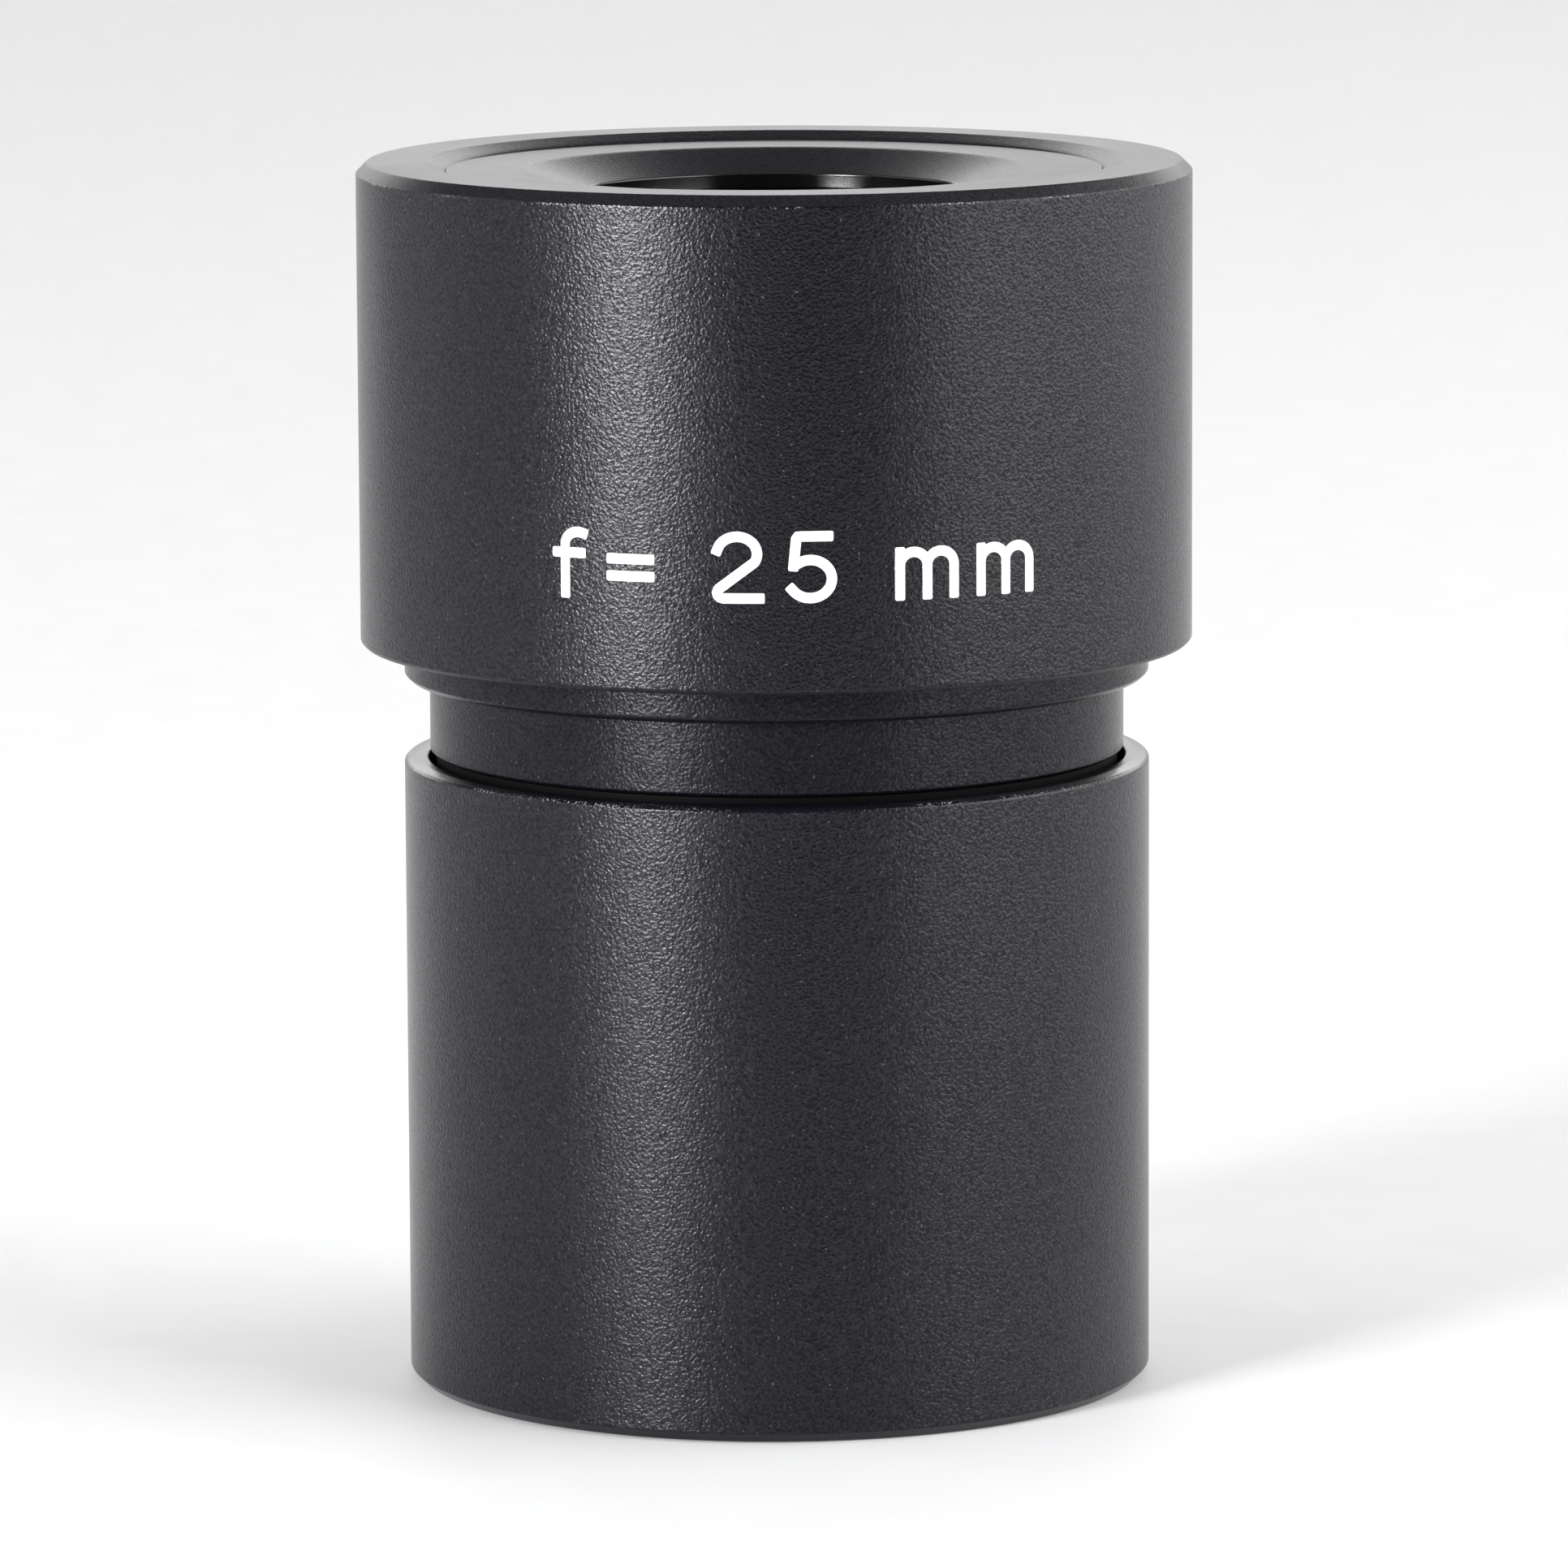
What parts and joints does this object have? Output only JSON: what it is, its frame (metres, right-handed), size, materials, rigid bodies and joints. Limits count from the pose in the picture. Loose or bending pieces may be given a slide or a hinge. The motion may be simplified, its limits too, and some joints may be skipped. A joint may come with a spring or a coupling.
{
  "type": "eyepiece",
  "caption": "Straight wide-field optical eyepiece with a stepped round head over a plain push-in barrel; the head turns on a screw thread to focus its lenses on the field stop.",
  "frame": {"origin": "centre of the barrel's foot, on the optical axis", "axes": "+Z along the optical axis towards the eye, -Y towards the marking on the head"},
  "size_m": [0.034, 0.034, 0.05],
  "materials": {
    "painted_black": "fine-textured charcoal black paint on aluminium",
    "anodised_black": "satin black anodised, turned",
    "blackened_brass": "chemically blackened brass",
    "black_nylon": "matte",
    "damping_rubber": "greased nitrile rubber",
    "crown_glass": "polished, coated",
    "flint_glass": "polished, coated",
    "marking_white": "matte white printed marking"
  },
  "bodies": {
    "barrel": {"lower_barrel": "painted_black", "field_stop_tube": "anodised_black", "field_stop": "anodised_black", "field_stop_retainer": "anodised_black"},
    "damping_ring": {"damping_ring": "damping_rubber"},
    "head": {"head_shell": "painted_black", "eye_cap": "painted_black", "neck_ring": "painted_black", "focus_sleeve": "anodised_black", "travel_stop_ring": "anodised_black", "lens_cell": "anodised_black", "cell_lock_ring": "blackened_brass", "parfocal_shim": "blackened_brass", "eye_lens_seat_ring": "black_nylon", "eye_lens_flint": "flint_glass", "eye_lens_crown": "crown_glass", "lens_spacer": "anodised_black", "field_lens_crown": "crown_glass", "field_lens_flint": "flint_glass", "lens_retaining_ring": "blackened_brass"}
  },
  "joints": [
    {"name": "focus_lift", "type": "slide", "parent": "barrel", "child": "damping_ring", "axis": [0, 0, 1], "range_m": [-0.003, 0.003]},
    {"name": "focus_turn", "type": "hinge", "parent": "damping_ring", "child": "head", "pos_m": [0, 0, 0.025], "axis": [0, 0, 1], "range_deg": [-180, 180]}
  ],
  "couplings": [
    {"joint": "focus_lift", "follows": "focus_turn", "m_per_rad": 0.0009549}
  ]
}
